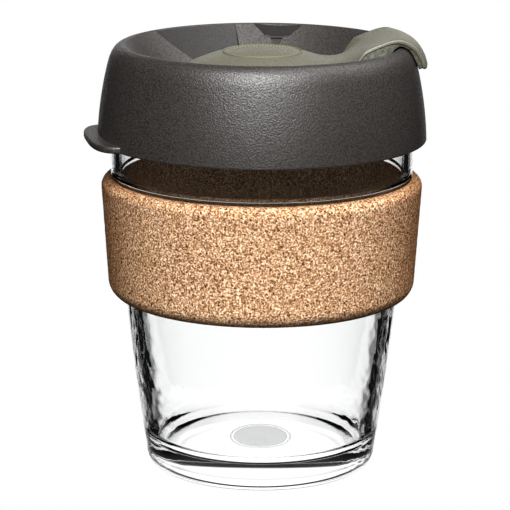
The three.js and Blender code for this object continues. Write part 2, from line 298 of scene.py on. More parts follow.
def apply_modifier(piece, kind, **options):
    """Adds one modifier to the piece and makes its result the piece's mesh."""
    modifier = piece.modifiers.new("step", kind)
    for name, value in options.items():
        setattr(modifier, name, value)
    graph = bpy.context.evaluated_depsgraph_get()
    mesh = bpy.data.meshes.new_from_object(piece.evaluated_get(graph))
    piece.modifiers.clear()
    piece.data = mesh
    return mesh


def weigh_normals(piece):
    """Shades the flat parts of a cut piece as flat, whatever their neighbours are."""
    apply_modifier(piece, "WEIGHTED_NORMAL", keep_sharp=True, weight=60)


def ride(piece, body, slot, *stands_for):
    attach(piece, body)
    if stands_for:
        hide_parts(*stands_for)


# ---- Shader nodes ----


class Nodes:
    """Adds nodes to a node tree. An input given as a socket is linked, and any other is its value."""

    def __init__(self, owner):
        owner.use_nodes = True
        self.tree = owner.node_tree
        self.tree.nodes.clear()

    def add(self, kind, inputs=None, output=0, **options):
        """Adds a node, sets its options, fills its inputs and gives one of its outputs."""
        node = self.tree.nodes.new("ShaderNode" + kind)
        for name, value in options.items():
            setattr(node, name, value)
        for name, value in (inputs or {}).items():
            if isinstance(value, bpy.types.NodeSocket):
                self.tree.links.new(value, node.inputs[name])
            else:
                node.inputs[name].default_value = value
        return node.outputs[output] if node.outputs else None

    def math(self, operation, first, second=0.0):
        return self.add("Math", {0: first, 1: second}, operation=operation)

    def mix(self, share, first, second, blend="MIX"):
        inputs = {"Fac": share, "Color1": first, "Color2": second}
        return self.add("MixRGB", inputs, blend_type=blend)

    def between(self, value, low, high, first=0.0, second=1.0):
        """first where value is under low, second where it is over high, smooth in between."""
        inputs = {"Value": value, "From Min": low, "From Max": high, "To Min": first, "To Max": second}
        return self.add("MapRange", inputs, interpolation_type="SMOOTHSTEP")

    def place(self):
        """The shaded point in the object's own metres."""
        return self.add("TexCoord", output="Object")

    def noise(self, size, detail=2.0, roughness=0.5, where=None):
        """Noise whose blobs are about size millimetres across."""
        inputs = {
            "Vector": where or self.place(),
            "Scale": 1 / (size * MM),
            "Detail": detail,
            "Roughness": roughness,
        }
        return self.add("TexNoise", inputs, output="Fac")

    def cells(self, size, output="Color", feature="F1", where=None):
        """Cells about size millimetres across: a random colour each, or the distance to its middle."""
        inputs = {"Vector": where or self.place(), "Scale": 1 / (size * MM)}
        return self.add("TexVoronoi", inputs, output=output, feature=feature)

    def ramp(self, value, *stops):
        """Colours at given shares, each stop a (share, colour)."""
        output = self.add("ValToRGB", {"Fac": value})
        elements = output.node.color_ramp.elements
        while len(elements) < len(stops):
            elements.new(0.5)
        for element, (share, colour) in zip(elements, stops):
            element.position = share
            element.color = (*colour, 1.0)
        return output

    def bump(self, height, strength, distance, normal=None):
        inputs = {"Height": height, "Strength": strength, "Distance": distance * MM}
        if normal is not None:
            inputs["Normal"] = normal
        return self.add("Bump", inputs)

    def finish(self, surface, kind="OutputMaterial"):
        self.add(kind, {"Surface": surface})


def new_material(name):
    material = bpy.data.materials.new(name)
    return material, Nodes(material)


def colour(red, green, blue):
    """A linear colour from 0 to 255 display values."""
    return tuple(((v / 255 + 0.055) / 1.055) ** 2.4 for v in (red, green, blue))


# ---- Materials ----

GRIT_SPAN = (0.35, 0.65)  # from the noise's low spots to its high spots
GRIT_GLOSS = 0.07  # how much shinier than the average the high spots are
PATCH_SIZE = 14.0
PATCH_SHARE = 0.12
GLASS_IOR = 1.5
EDGE_ON = (0.78, 0.97)  # how far from face-on the painted shade on the glass starts and is darkest
# How dark the painted shade gets where the glass is seen edge-on.
EDGE_PAINTED_SHADE = 0.85
CRUMB = 0.6  # sizes of what cork is pressed from
SPECK = 0.5
BARK = 1.5
BARK_EDGE = (0.13, 0.23)
SPECK_SHARE = 0.68
SPECK_DEPTH = 0.3
BLOOM = 0.26  # how much of the light a frosted patch scatters


def moulded_plastic(name, tone, dark_tone, roughness, size=0.4, depth=0.1, edge=0.25):
    """Spark-textured plastic: grain size and depth in millimetres, and softly rounded edges."""
    material, nodes = new_material(name)
    grit = nodes.noise(size, detail=2.0, roughness=0.6)
    patches = nodes.noise(PATCH_SIZE, detail=2.0)
    rounded = nodes.add("Bevel", {"Radius": edge * MM}, samples=6)
    normal = nodes.bump(grit, 1.0, depth, rounded)
    tint = nodes.mix(nodes.between(grit, *GRIT_SPAN), (*dark_tone, 1), (*tone, 1))
    tint = nodes.mix(nodes.math("MULTIPLY", patches, PATCH_SHARE), tint, (*dark_tone, 1))
    inputs = {
        "Base Color": tint,
        "Roughness": nodes.between(grit, *GRIT_SPAN, roughness + GRIT_GLOSS, roughness - GRIT_GLOSS),
        "Specular IOR Level": PLASTIC_SHEEN,
        "Normal": normal,
    }
    nodes.finish(nodes.add("BsdfPrincipled", inputs))
    return material


def clear_glass():
    """Clear glass with painted shade where the lens sees it almost edge-on, standing in for the dark
    edges of thick glass.
    """
    material, nodes = new_material("clear_glass")
    haze = nodes.noise(30.0)
    tint = nodes.ramp(haze, (0.3, (0.985, 0.99, 0.99)), (0.7, (1.0, 1.0, 1.0)))
    facing = nodes.add("LayerWeight", {"Blend": 0.5}, output="Facing")
    # Painted shade: the colour and the reflections go dark where the glass is almost edge-on to the
    # lens.
    painted_edge_shade = nodes.between(facing, *EDGE_ON, 0.0, EDGE_PAINTED_SHADE)
    ray = nodes.add("LightPath", output="Is Camera Ray")
    painted_edge_shade = nodes.math("MULTIPLY", painted_edge_shade, ray)
    inputs = {
        "Base Color": nodes.mix(painted_edge_shade, tint, (0.03, 0.032, 0.033, 1)),
        "Specular Tint": nodes.mix(painted_edge_shade, (1, 1, 1, 1), (0.1, 0.1, 0.1, 1)),
        "Roughness": 0.0,
        "IOR": GLASS_IOR,
        "Transmission Weight": 1.0,
    }
    nodes.finish(nodes.add("BsdfPrincipled", inputs))
    return material


def cork():
    """Pressed cork: crumbs of many tans with darker bark specks and tiny pits between them."""
    material, nodes = new_material("cork")
    crumb = nodes.cells(CRUMB)
    crumb_tone = nodes.add("SeparateColor", {"Color": crumb}, output="Red")
    speck = nodes.noise(SPECK, detail=2.0, roughness=0.7)
    tan = nodes.ramp(
        crumb_tone,
        (0.0, colour(128, 88, 54)),
        (0.3, colour(172, 132, 96)),
        (0.7, colour(196, 160, 124)),
        (1.0, colour(232, 206, 176)),
    )
    shade = nodes.ramp(
        speck,
        (0.38, colour(60, 34, 16)),
        (0.46, colour(154, 112, 74)),
        (0.54, colour(202, 167, 131)),
        (0.63, colour(252, 234, 214)),
    )
    surface = nodes.mix(SPECK_SHARE, tan, shade)
    bark = nodes.cells(BARK, output="Distance")
    bark_share = nodes.between(bark, *BARK_EDGE, 0.85, 0.0)
    surface = nodes.mix(bark_share, surface, (*colour(48, 26, 12), 1))
    # Painted shade: the cork gets darker and browner where its surface turns away from the lens.
    facing = nodes.add("LayerWeight", {"Blend": 0.5}, output="Facing")
    painted_side_shade = nodes.mix(1.0, surface, (0.62, 0.5, 0.38, 1), blend="MULTIPLY")
    surface = nodes.mix(nodes.between(facing, 0.2, 0.9, 0.0, 0.9), surface, painted_side_shade)
    inputs = {
        "Base Color": surface,
        "Roughness": 0.85,
        "Specular IOR Level": 0.1,
        "Normal": nodes.bump(speck, 1.0, SPECK_DEPTH),
    }
    nodes.finish(nodes.add("BsdfPrincipled", inputs))
    return material


def frosting():
    """A frosted patch on the glass: mostly clear, with a soft grey bloom."""
    material, nodes = new_material("frosting")
    grain = nodes.noise(0.8)
    grey = nodes.ramp(grain, (0.3, colour(120, 121, 122)), (0.7, colour(134, 135, 136)))
    bloom = nodes.add("BsdfPrincipled", {"Base Color": grey, "Roughness": 0.9})
    clear = nodes.add("BsdfTransparent")
    nodes.finish(nodes.add("MixShader", {0: BLOOM, 1: clear, 2: bloom}))
    return material


# ---- Glass ----


def glass_outside(height):
    """Radius of the tapered wall's outer surface, under the shoulder."""
    share = height / SHOULDER_TOP
    cone = BASE_RADIUS + (NECK_RADIUS - CONE_TUCK - BASE_RADIUS) * share
    return cone + BULGE * share * (1 - share) ** 2


def glass_inside(height):
    """Radius of the tapered wall's inner surface."""
    radius, level = INNER_MIDDLE
    slope = (INNER_NECK - radius) / (SHOULDER_TOP - level)
    return radius + slope * (height - level)


def glass_profile():
    """From the middle of the foot up the outside, over the rim and down to the inner floor."""
    rim = RIM_WALL / 2
    shoulder = glass_outside(SHOULDER_LOW)
    foot = (glass_outside(FOOT_EDGE) - FOOT_RADIUS, FOOT_EDGE)
    fillet_top = FLOOR_TOP + FLOOR_FILLET
    fillet = (glass_inside(fillet_top) - FLOOR_RADIUS, FLOOR_FILLET)
    return [
        (AXIS_RING, 0),
        *[(radius, 0) for radius in np.linspace(4, FOOT_RADIUS - 1, 6)],
        *arc((FOOT_RADIUS, FOOT_EDGE), foot, -90, 0, 12),
        *wall(glass_outside, FOOT_EDGE, SHOULDER_LOW, 90)[1:],
        *arc((shoulder + SHOULDER_STEP, SHOULDER_LOW), (SHOULDER_STEP, SHOULDER_STEP), 180, 90, 4)[1:-1],
        *[(NECK_RADIUS - inset, SHOULDER_TOP - drop) for inset, drop in SHOULDER_EASE],
        *[(NECK_RADIUS, z) for z in np.linspace(SHOULDER_TOP, GLASS_TOP - rim, 14)],
        *arc((NECK_RADIUS - rim, GLASS_TOP - rim), (rim, rim), 0, 180, 16)[1:],
        *[(INNER_NECK, z) for z in np.linspace(GLASS_TOP - rim, SHOULDER_TOP, 14)[1:]],
        *wall(glass_inside, SHOULDER_TOP, fillet_top, 90)[1:],
        *arc((FLOOR_RADIUS, fillet_top), fillet, 0, -90, 20)[1:],
        *[(radius, FLOOR_TOP) for radius in np.linspace(FLOOR_RADIUS, AXIS_RING, 6)[1:]],
    ]


RIPPLE = 0.06  # height of the ripples that moulding leaves in the glass wall
RIPPLE_SIZE = (3.4, 1.9)  # their length round the wall and up it
RIPPLE_SLANT = 0.5  # how much they climb on their way round
RIPPLE_LOW = 1.0  # height of the lowest ones
RIPPLE_FADE = (15, 60)  # heights between which they weaken
RIPPLE_LEFT = 0.15  # and what is left of them above that
FLAT_FLOOR = FLOOR_RADIUS + 2  # nothing nearer the axis has ripples
SEAM_SIDE = (0.6, 0.9)  # where they start and are full, as a share of the way to the mould's seams


def rippled(rows):
    """Moves the wall's points in and out a little, more towards the foot, as in pressed glass."""
    moved = rows.copy()
    count, columns = rows.shape[:2]
    for i in range(count):
        height = rows[i, 0, 2]
        radius = math.hypot(rows[i, 0, 0], rows[i, 0, 1])
        if radius < FLAT_FLOOR or height > SHOULDER_LOW or height < RIPPLE_LOW:
            continue
        fade = 1 - (1 - RIPPLE_LEFT) * smoothstep(height, *RIPPLE_FADE)
        for j in range(columns):
            x, y, z = rows[i, j]
            seam = smoothstep(abs(x) / radius, *SEAM_SIDE)
            slanted = z + RIPPLE_SLANT * (x + y)
            where = Vector((x / RIPPLE_SIZE[0], y / RIPPLE_SIZE[0], slanted / RIPPLE_SIZE[1]))
            push = RIPPLE * fade * seam * noise.fractal(where, 1.0, 2.0, 2)
            moved[i, j, 0] += push * x / radius
            moved[i, j, 1] += push * y / radius
    return moved


def build_glass():
    rows = rippled(turned_rows(glass_profile(), GLASS_COLUMNS))
    glass = add_mesh("glass_tumbler", *closed_rows(rows))
    glass.data.materials.append(clear_glass())
    glass.visible_shadow = False
    ride(glass, "cup", "clear_glass", "glass_cup")
    return glass


# A plain frosted oval with a clear line inside its edge, on the floor of the glass.
OVAL_HALF_SIZE = (8.7, 11.0)
OVAL_LOW = 0.03  # its underside and its top, above the floor
OVAL_HIGH = 0.06
OVAL_LINE = (0.88, 0.93)  # inner and outer edge of the line, as shares of the oval's size
OVAL_MIDDLE = 0.02  # the first row, as a share of its size


def oval_row(scale, height):
    """A row of points round the oval at a share of its size and a height above the floor."""
    angles = np.linspace(0, 2 * math.pi, COLUMNS, endpoint=False)
    across, along = OVAL_HALF_SIZE
    plan = [across * scale * np.cos(angles), along * scale * np.sin(angles)]
    return np.stack([*plan, np.full(COLUMNS, FLOOR_TOP + height)], axis=1)


def build_base_oval():
    line_inner, line_outer = OVAL_LINE
    outer_ring = [(1.0, OVAL_LOW), (1.0, OVAL_HIGH), (line_outer, OVAL_HIGH), (line_outer, OVAL_LOW)]
    rim = [(line_inner, OVAL_LOW), (line_inner, OVAL_HIGH)]
    disc = [(OVAL_MIDDLE, OVAL_LOW), *rim, (OVAL_MIDDLE, OVAL_HIGH)]
    ring_rows = np.stack([oval_row(*point) for point in outer_ring])[::-1]
    disc_rows = np.stack([oval_row(*point) for point in disc])
    parts = [closed_rows(ring_rows, ring=True), closed_rows(disc_rows)]
    oval = add_mesh("base_oval", *joined(parts))
    oval.data.materials.append(frosting())
    oval.visible_shadow = False
    ride(oval, "cup", "clear_glass")
    return oval


# ---- Cork band ----


def band_inside(height):
    return glass_outside(height) + BAND_GAP


def band_profile():
    top = (BAND_RADIUS_TOP - BAND_ROUND_TOP, BAND_HIGH.z - BAND_ROUND_TOP)
    low = (BAND_RADIUS_LOW - BAND_ROUND_LOW, BAND_LOW.z + BAND_ROUND_LOW)
    side_low, side_top = (BAND_RADIUS_LOW, low[1]), (BAND_RADIUS_TOP, top[1])
    side = np.linspace(side_low, side_top, 60)[1:-1]
    return [
        *arc(low, (BAND_ROUND_LOW, BAND_ROUND_LOW), -90, 0, 16),
        *[tuple(p) for p in side],
        *arc(top, (BAND_ROUND_TOP, BAND_ROUND_TOP), 0, 90, 12),
        *wall(band_inside, BAND_HIGH.z, BAND_LOW.z, 20),
    ]


GRANULE = 0.07  # how far cork granules stand out of the surface or sink into it
GRANULE_WAVES = ((1.1, 1.0), (2.3, 0.6))  # noise waves per millimetre, and the share of each
SMOOTH_BORE = 0.3  # depth of wall round the glass that has no granules


def granular(rows):
    """Pushes the band's outer points in and out to make the granules of pressed cork."""
    moved = rows.copy()
    count, columns = rows.shape[:2]
    for i in range(count):
        radius = math.hypot(rows[i, 0, 0], rows[i, 0, 1])
        if radius <= band_inside(rows[i, 0, 2]) + SMOOTH_BORE:
            continue
        for j in range(columns):
            where = Vector(rows[i, j])
            push = GRANULE * sum(share * noise.noise(where * waves) for waves, share in GRANULE_WAVES)
            moved[i, j] += push * np.array([where.x, where.y, 0]) / radius
    return moved


def build_band():
    rows = granular(turned_rows(band_profile(), BAND_COLUMNS))
    band = add_mesh("cork_sleeve", *closed_rows(rows, ring=True))
    band.data.materials.append(cork())
    ride(band, "band", "cork", "cork_band")
    return band


# ---- Lid ----


def skirt_outside(height):
    share = (height - SKIRT_LOW) / (CROWN_START - SKIRT_LOW)
    return LID_RADIUS + (CROWN_RADIUS - LID_RADIUS) * share + SKIRT_BULGE * share * (1 - share)


def skirt_inside(height):
    return skirt_outside(height) - SKIRT_WALL


# Where the bowl wall, which falls inwards at 45 degrees, starts under the crest.
BOWL_START = (
    CREST_RADIUS - CREST_INNER_ROUND * math.sqrt(0.5),
    CREST_TOP - CREST_INNER_ROUND * (1 - math.sqrt(0.5)),
)


def bowl_height(radius):
    return BOWL_START[1] - (BOWL_START[0] - radius)


def crown_curve(steps):
    """The crown, from the top of the skirt along its lean and over to the level crest."""
    lean = (skirt_outside(CROWN_START) - skirt_outside(CROWN_START - MM)) / MM
    rise = CROWN_HANDLES[0] / math.hypot(1, lean)
    start, end = (CROWN_RADIUS, CROWN_START), (CREST_RADIUS, CREST_TOP)
    first = (CROWN_RADIUS + lean * rise, CROWN_START + rise)
    return bezier(start, first, (CREST_RADIUS + CROWN_HANDLES[1], CREST_TOP), end, steps)


def lid_profile():
    """From the hub hole along the underside, round the skirt, over the crest and down the bowl."""
    crest = (CREST_RADIUS, CREST_TOP - CREST_INNER_ROUND)
    floor_low = BOWL_FLOOR - FLOOR_WALL
    seal_inner = SEAL_RADIUS - SEAL_WALL
    step = SEAL_RADIUS + SEAL_WALL
    ledge = SEAT + SEAL_WALL
    chamfer_across, chamfer_down = HOLLOW_CHAMFER
    seal_chamfer, seal_rise = SEAL_CHAMFER
    edge = (SKIRT_EDGE, SKIRT_EDGE)
    edge_centre = (LID_RADIUS - SKIRT_EDGE, SKIRT_LOW + SKIRT_EDGE)
    inner_edge = (skirt_inside(SKIRT_LOW) + SKIRT_EDGE, SKIRT_LOW + SKIRT_EDGE)
    # The fillet between a 45 degree wall and a level floor.
    reach = BOWL_FILLET * math.tan(math.radians(22.5))
    corner = BOWL_START[0] - (BOWL_START[1] - BOWL_FLOOR)
    fillet = (corner - reach, BOWL_FLOOR + BOWL_FILLET)
    return [
        (HUB_HOLE, floor_low),
        (RECESS_BOTTOM_RADIUS + RECESS_WALL, floor_low),
        (CREST_RADIUS - chamfer_across, HOLLOW_TOP - chamfer_down),
        (CREST_RADIUS, HOLLOW_TOP),
        (HOLLOW_RADIUS, HOLLOW_TOP),
        (HOLLOW_RADIUS, ledge),
        (seal_inner, SEAT),
        (seal_inner, SEAL_LOW),
        (SEAL_RADIUS - seal_chamfer, SEAL_LOW),
        (SEAL_RADIUS, SEAL_LOW + seal_rise),
        (SEAL_RADIUS, SEAT),
        (step, SEAT),
        (step, ledge),
        *wall(skirt_inside, ledge, inner_edge[1], 12),
        *arc(inner_edge, edge, 180, 270, 4)[1:],
        *arc(edge_centre, edge, -90, 0, 5),
        *wall(skirt_outside, SKIRT_LOW + SKIRT_EDGE, CROWN_START, 40)[1:],
        *crown_curve(28)[1:],
        *arc(crest, (CREST_INNER_ROUND, CREST_INNER_ROUND), 90, 135, 8)[1:],
        *[(r, bowl_height(r)) for r in np.linspace(BOWL_START[0], corner + reach, 8)[1:]],
        *arc(fillet, (BOWL_FILLET, BOWL_FILLET), -45, -90, 5)[1:],
        (HUB_HOLE + HUB_CHAMFER, BOWL_FLOOR),
        (HUB_HOLE, BOWL_FLOOR - HUB_CHAMFER),
    ]


def tab_outline(steps=32):
    """The far half of a rounded oval that is TAB_HALF_WIDTH wide to each side."""
    points = []
    for angle in np.linspace(-math.pi / 2, math.pi / 2, steps + 1):
        along = max(math.cos(angle), 0) ** (2 / TAB_SQUARENESS)
        across = math.copysign(abs(math.sin(angle)) ** (2 / TAB_SQUARENESS), angle)
        points.append((TAB_ROOT + (TAB_REACH - TAB_ROOT) * along, TAB_HALF_WIDTH * across))
    return points


def pull_tab():
    """The tab, cut off half way through the skirt's wall so that it doesn't fill the skirt."""
    plate = prism(tab_outline(), SKIRT_LOW, SKIRT_LOW + TAB_THICK, TAB_TURN, edge=TAB_EDGE)
    inside = skirt_inside(SKIRT_LOW) + SKIRT_WALL / 2
    low, high = SKIRT_LOW - OVERCUT, SKIRT_LOW + TAB_THICK + OVERCUT
    core = [(AXIS_RING, low), (inside, low), (inside, high), (AXIS_RING, high)]
    combine(plate, add_turned("core", core), "DIFFERENCE")
    return plate


def sip_well():
    """The hole through the lid, wider towards the rim."""
    (outer, outer_half), (lip, lip_half) = SIP_OUTER, SIP_LIP
    outline = [(lip, -lip_half), (outer, -outer_half), (outer, outer_half), (lip, lip_half)]
    return prism(outline, SEAT + SEAL_WALL, TOOL_TOP, SIP_TURN)


def ring_above(points):
    """Everything between the (radius, height) points and RING_TOP, turned about the axis."""
    profile = [*points, (points[-1][0], RING_TOP), (points[0][0], RING_TOP)]
    return add_turned("ring", profile, ring=True)


def sip_groove():
    """The shallow groove that runs from the hole down the bowl wall."""
    (tip, tip_half), (outer, half) = SIP_TIP, (SIP_OUTER[0], SIP_LIP[1])
    outline = [(tip, -tip_half), (outer, -half), (outer, half), (tip, tip_half)]
    groove = prism(outline, BOWL_FLOOR, TOOL_TOP, SIP_TURN)
    span = (tip - 2 * OVERCUT, outer + OVERCUT)
    bottom = [(r, bowl_height(r) - SIP_GROOVE_DEPTH) for r in span]
    return combine(groove, ring_above(bottom), "INTERSECT")


def sip_bead():
    """A small round ridge along the lip of the drinking slot."""
    radius, half = SIP_LIP
    level = bowl_height(radius) - SIP_GROOVE_DEPTH
    circle = arc((radius - SIP_BEAD, level), (SIP_BEAD, SIP_BEAD), 0, 360, 16)[:-1]
    turn = Matrix.Rotation(SIP_TURN, 3, "Z")
    rows = [[tuple(turn @ Vector((x, y, z))) for x, z in circle] for y in (half, -half)]
    return add_mesh("bead", *closed_rows(np.array(rows)))


def finger_recess():
    """A steeper stretch of bowl wall, which makes room for a finger."""
    far = CREST_RADIUS / math.sin(RECESS_TURN)
    near = RECESS_SIDE / math.tan(RECESS_TURN)
    outline = [
        (near, RECESS_SIDE),
        (far * math.cos(RECESS_TURN), CREST_RADIUS),
        (-CREST_RADIUS, CREST_RADIUS),
        (-CREST_RADIUS, RECESS_SIDE),
    ]
    recess = prism(outline, BOWL_FLOOR - OVERCUT, TOOL_TOP)
    foot = (RECESS_BOTTOM_RADIUS, BOWL_FLOOR + RECESS_LIFT)
    slope = (BOWL_START[1] - foot[1]) / (BOWL_START[0] - foot[0])
    over = (BOWL_START[0] + RECESS_OVERSHOOT, BOWL_START[1] + RECESS_OVERSHOOT * slope)
    points = [(RECESS_SIDE - OVERCUT, foot[1]), foot, over]
    return combine(recess, ring_above(points), "INTERSECT")


def build_lid():
    lid = add_turned("press_on_lid", lid_profile(), ring=True)
    grey, dark = colour(73, 69, 67), colour(41, 38, 36)
    grained = moulded_plastic("lid_plastic", grey, dark, LID_ROUGHNESS, size=0.45, depth=0.13)
    # The smooth finish of the recess and the sip opening, its colour darkened as painted shade.
    grey, dark = colour(38, 35, 33), colour(31, 29, 27)
    smooth_with_painted_shade = moulded_plastic("lid_plastic_smooth_painted_shade", grey, dark, SMOOTH_ROUGHNESS, depth=0.05)
    lid.data.materials.append(grained)
    steps = [
        (pull_tab, grained, "UNION"),
        (sip_well, smooth_with_painted_shade, "DIFFERENCE"),
        (sip_groove, smooth_with_painted_shade, "DIFFERENCE"),
        (sip_bead, smooth_with_painted_shade, "UNION"),
        (finger_recess, smooth_with_painted_shade, "DIFFERENCE"),
    ]
    for make, material, operation in steps:
        tool = make()
        tool.data.materials.clear()
        tool.data.materials.append(material)
        combine(lid, tool, operation)
    weigh_normals(lid)
    ride(lid, "lid", "lid_plastic", "lid")
    return lid


# ---- Plug ----

CAP_THICK = 1.0  # the arm's smooth cap, which overhangs the grained core under it
CAP_OVERHANG = 0.3
CAP_EDGE = 0.45  # rounding of the cap's edge on the arm
CAP_GROOVE = 0.12  # size of the small step under the cap
DOME_EDGE = 0.4  # rounding of the cap's edge on the dome
DOME_CAP = 0.7
DOME_EDGE_THICK = 1.0
DOME_END = 17.0  # radius at which the arm's root starts to rise out of the dome
ARM_BENDS = (  # the top of the arm: radius and depth under its highest point
    (20.5, 6.9),
    (25, 5.2),
    (31.5, 1.75),
    (37.2, 0.06),
    (41.5, 1.8),
    (43.9, 4.9),
    (ARM_REACH, 8.0),
)
ARM_CROWN = 0.3  # how much lower the arm's two edges are than its middle line
ARM_GAP = 0.5  # between the arm's core and the lid under it
ARM_TAPER = 0.25  # how far the core's foot is inside its top
CORE_DEPTH = 4.6  # the arm's thickness where the bowl leaves room for it
TIP_DEPTH = 2.3
ARM_BLEND = (0.5, 6.0)  # where the dome's edge turns into the arm's, from the dome's edge
ROOT_BLEND = (-0.8, 6.5)  # where the arm's sides leave the dome's surface, from the dome's edge
ROOT_SQUARENESS = 2.5  # the more, the narrower the strips at its sides that keep to the dome
CROWN_BLEND = 8.0  # how far past the dome's edge the arm's crown is full
ROOT_ROUND = 5.0  # width of the rounding between the dome's edge and the arm's in the plan
CORNER_ROUND = 0.9
PLUG_COLUMNS = 480
MIDDLE_SHARE = 0.012  # the first row, as a share of the plan
RIM_SHARE = 0.93  # the part of the plan, from the middle, that the evenly spaced rows cover


def dome_height(radius, sphere=DOME_SPHERE):
    """Height of the dome, or of a smaller sphere with the same middle."""
    return DOME_TOP - DOME_SPHERE + np.sqrt(sphere**2 - np.minimum(radius, sphere) ** 2)


def catmull_rom(points, steps):
    """A smooth curve through points, with steps pieces between each two."""
    points = np.asarray(points, float)
    ends = np.vstack([2 * points[0] - points[1], points, 2 * points[-1] - points[-2]])
    made = []
    for a, b, c, d in zip(ends, ends[1:], ends[2:], ends[3:]):
        for t in np.linspace(0, 1, steps, endpoint=False):
            bend = 2 * a - 5 * b + 4 * c - d
            made.append(0.5 * (2 * b + (c - a) * t + bend * t**2 + (3 * b - a - 3 * c + d) * t**3))
    return np.array([*made, points[-1]])


def lid_top(radius):
    """Height of the lid's upper surface, from the bowl's floor over the crest to the crown."""
    corner = BOWL_START[0] - (BOWL_START[1] - BOWL_FLOOR)
    outside = CROWN_RADIUS + ARM_GAP
    points = [
        (0, BOWL_FLOOR),
        (corner, BOWL_FLOOR),
        BOWL_START,
        *crown_curve(12)[::-1],
        (outside, CROWN_START),
        (outside + 0.01, SKIRT_LOW),
    ]
    return np.interp(radius, *np.array(points).T)


class ArmProfile:
    """The plug's top from the middle of the dome over the rim to the arm's tip, by length."""

    def __init__(self):
        dome = [(r, float(dome_height(r))) for r in np.linspace(0, DOME_END, 18)]
        arm = [dome[-1], *[(radius, ARM_TOP - drop) for radius, drop in ARM_BENDS]]
        self.points = np.array([*dome[:-1], *catmull_rom(arm, 12)])
        steps = np.hypot(*np.diff(self.points, axis=0).T)
        self.length = np.concatenate([[0], np.cumsum(steps)])
        slope = np.gradient(self.points, self.length, axis=0)
        slope /= np.hypot(*slope.T)[:, None]
        self.normals = np.stack([-slope[:, 1], slope[:, 0]], axis=1)
        self.end = self.length[-1]
        self.dome_end = self.length_at(DOME_RADIUS)
        self.depth = self.depths()

    def at(self, length, table):
        """A point or a normal at a length along the top."""
        return np.stack([np.interp(length, self.length, table[:, k]) for k in (0, 1)])

    def length_at(self, radius):
        return float(np.interp(radius, self.points[:, 0], self.length))

    def armness(self, length):
        """0 on the dome, 1 on the arm."""
        start, end = ARM_BLEND
        return smoothstep(length, self.dome_end + start, self.dome_end + end)

    def depths(self):
        """The thickness at each point: as much as the lid under it allows, and even at the tip."""
        tries = np.linspace(TIP_DEPTH / 2, CORE_DEPTH, 80)
        depths = []
        for (radius, height), (across, up) in zip(self.points, self.normals):
            room = height - ARM_CROWN - tries * up - lid_top(radius - tries * across)
            clear = tries[room > ARM_GAP]
            depths.append(clear.max() if len(clear) else tries[0])
        depths = np.array(depths)
        over_rim = self.points[:, 0] > CREST_RADIUS
        depths[over_rim] = np.minimum(depths[over_rim], TIP_DEPTH)
        return np.minimum(depths, np.convolve(np.pad(depths, 3, "edge"), np.ones(7) / 7, "valid"))

    def thickness(self, length):
        share = self.armness(length)
        return share * np.interp(length, self.length, self.depth) + (1 - share) * DOME_EDGE_THICK


ARM = ArmProfile()


def smooth_max(first, second, width):
    """The larger of two values, rounded over where they are within width of each other."""
    overlap = np.clip(width - np.abs(first - second), 0, width) / width
    return np.maximum(first, second) + overlap**3 * width / 6


def round_corners(points, radius, rounds):
    """A closed outline of evenly spaced points with its corners worn down by averaging."""
    spacing = np.hypot(*(points[1] - points[0]))
    reach = max(1, int(radius / spacing))
    kernel = np.ones(2 * reach + 1) / (2 * reach + 1)
    for _ in range(rounds):
        padded = np.vstack([points[-reach:], points, points[:reach]])
        points = np.stack([np.convolve(padded[:, k], kernel, "valid") for k in (0, 1)], axis=1)
    return points


def even_points(points, count):
    """The same closed outline with count evenly spaced points."""
    closed = np.vstack([points, points[:1]])
    along = np.concatenate([[0], np.cumsum(np.hypot(*np.diff(closed, axis=0).T))])
    wanted = np.linspace(0, along[-1], count, endpoint=False)
    return np.stack([np.interp(wanted, along, closed[:, k]) for k in (0, 1)], axis=1)


def plug_outline():
    """The plug's plan: a disc with a strip to one side, laid out on the length along its top."""
    angles = np.linspace(-math.pi, math.pi, 7201)[:-1]
    sine = np.maximum(np.abs(np.sin(angles)), 1e-6)
    strip = np.where(np.cos(angles) > 0, np.minimum(ARM_HALF_WIDTH / sine, ARM_REACH), 0)
    strip_length = np.interp(strip, ARM.points[:, 0], ARM.length)
    tip_angle = math.asin(ARM_HALF_WIDTH / ARM_REACH)
    strip_length[np.abs(angles) < tip_angle] = ARM.end
    reach = smooth_max(strip_length, np.full_like(angles, ARM.dome_end), ROOT_ROUND)
    outline = np.stack([reach * np.cos(angles), reach * np.sin(angles)], axis=1)
    outline = round_corners(even_points(outline, 3600), CORNER_ROUND, 2)
    return even_points(outline, PLUG_COLUMNS)


def on_plug(flat, depth):
    """Points of the plug's surface from plan points and a depth under the top."""
    length = np.hypot(*flat.T)
    angle = np.arctan2(flat[:, 1], flat[:, 0])
    radius, height = ARM.at(length, ARM.points)
    across, up = ARM.at(length, ARM.normals)
    sideways = np.minimum(np.abs(radius * np.sin(angle)) / ARM_HALF_WIDTH, 1.0)
    sideways = np.where(np.cos(angle) < 0, 1.0, sideways)
    # The arm's root rises out of the middle of the dome, and its sides keep to the dome longer.
    start, end = ROOT_BLEND
    leaving = smoothstep(radius, DOME_RADIUS + start, DOME_RADIUS + end)
    domed = sideways**ROOT_SQUARENESS * (1 - leaving)
    drop = domed * (height - dome_height(radius))
    crown = ARM_CROWN * sideways**2 * smoothstep(radius, DOME_RADIUS, DOME_RADIUS + CROWN_BLEND)
    lean = radius / DOME_SPHERE
    across = across + (lean - across) * domed
    up = up + (np.sqrt(1 - lean**2) - up) * domed
    height = height - drop - crown - depth * up
    radius = radius - depth * across
    x, y = radius * np.cos(angle + ARM_TURN), radius * np.sin(angle + ARM_TURN)
    return np.stack([x, y, height], axis=1)


